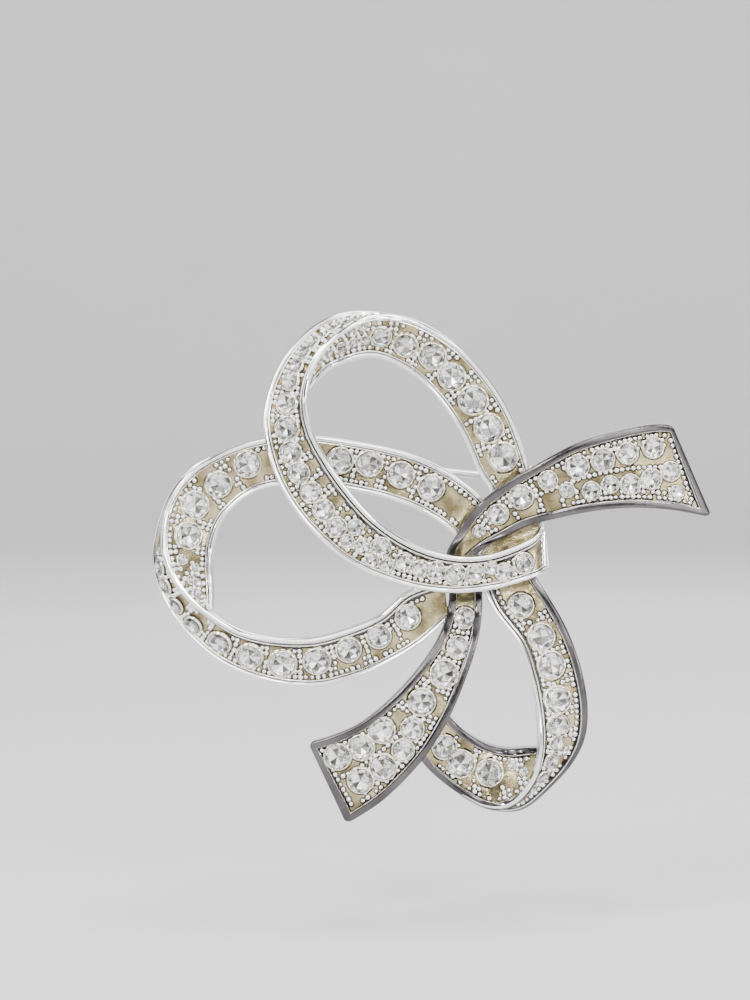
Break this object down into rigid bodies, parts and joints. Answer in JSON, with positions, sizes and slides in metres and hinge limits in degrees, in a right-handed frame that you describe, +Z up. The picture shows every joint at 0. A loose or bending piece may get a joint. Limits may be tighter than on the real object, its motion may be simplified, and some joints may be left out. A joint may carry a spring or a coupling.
{
  "type": "brooch",
  "caption": "Openwork bow brooch of channel-set ribbons with clear faceted stones, and on its back a hinged pin with a roll-over safety catch.",
  "frame": {"origin": "on the axis of the pin stem, midway between the hinge axis and the middle of the catch", "axes": "+Z up the bow as it is worn and shown, -Y out of the bow's face towards the viewer, +X to the viewer's right"},
  "size_m": [0.0597, 0.0122, 0.055],
  "materials": {
    "plated_metal": "polished bright silver-coloured plate over cast white metal",
    "solder_lump": "plated, as cast",
    "pin_steel": "plated steel wire",
    "clear_crystal": "clear faceted crystal with a silvered back"
  },
  "bodies": {
    "bow": {"upper_loop": "plated_metal", "left_loop": "plated_metal", "lower_loop": "plated_metal", "right_tail": "plated_metal", "left_tail": "plated_metal", "knot_core": "solder_lump", "hinge_base": "plated_metal", "hinge_rivet": "plated_metal", "catch_base": "plated_metal", "stone_upper_back_01": "clear_crystal", "stone_upper_back_02": "clear_crystal", "stone_upper_back_03": "clear_crystal", "stone_upper_back_04": "clear_crystal", "stone_upper_back_05": "clear_crystal", "stone_upper_back_06": "clear_crystal", "stone_upper_back_07": "clear_crystal", "stone_left_back_01": "clear_crystal", "stone_left_back_02": "clear_crystal", "stone_left_back_03": "clear_crystal", "stone_left_back_04": "clear_crystal", "stone_left_back_05": "clear_crystal", "stone_left_back_06": "clear_crystal", "stone_left_back_07": "clear_crystal", "stone_left_back_08": "clear_crystal", "stone_left_front_01": "clear_crystal", "stone_left_front_02": "clear_crystal", "stone_left_front_03": "clear_crystal", "stone_left_front_04": "clear_crystal", "stone_left_front_05": "clear_crystal", "stone_left_front_06": "clear_crystal", "stone_left_front_07": "clear_crystal", "stone_left_front_08": "clear_crystal", "stone_left_tail_01": "clear_crystal", "stone_left_tail_02": "clear_crystal", "stone_left_tail_03": "clear_crystal", "stone_left_tail_04": "clear_crystal", "stone_left_tail_05": "clear_crystal", "stone_left_tail_06": "clear_crystal", "stone_left_tail_07": "clear_crystal", "stone_left_tail_08": "clear_crystal", "stone_left_tail_09": "clear_crystal", "stone_left_tail_10": "clear_crystal", "stone_left_tail_11": "clear_crystal", "stone_lower_front_01": "clear_crystal", "stone_lower_front_02": "clear_crystal", "stone_lower_front_03": "clear_crystal", "stone_lower_front_04": "clear_crystal", "stone_lower_front_05": "clear_crystal", "stone_lower_back_01": "clear_crystal", "stone_lower_back_02": "clear_crystal", "stone_lower_back_03": "clear_crystal", "upper_front_row": "clear_crystal", "right_tail_upper_row": "clear_crystal", "right_tail_lower_row": "clear_crystal"},
    "pin": {"pin_stem": "pin_steel"},
    "sleeve": {"catch_sleeve": "plated_metal"}
  },
  "joints": [
    {"name": "pin_hinge", "type": "hinge", "parent": "bow", "child": "pin", "pos_m": [-0.01193, 0, 0.00125], "axis": [0.1045, 0, 0.9945], "range_deg": [0, 100]},
    {"name": "catch_roll", "type": "hinge", "parent": "bow", "child": "sleeve", "pos_m": [0.01193, 0, -0.00125], "axis": [0.9945, 0, -0.1045], "range_deg": [0, 100]}
  ]
}
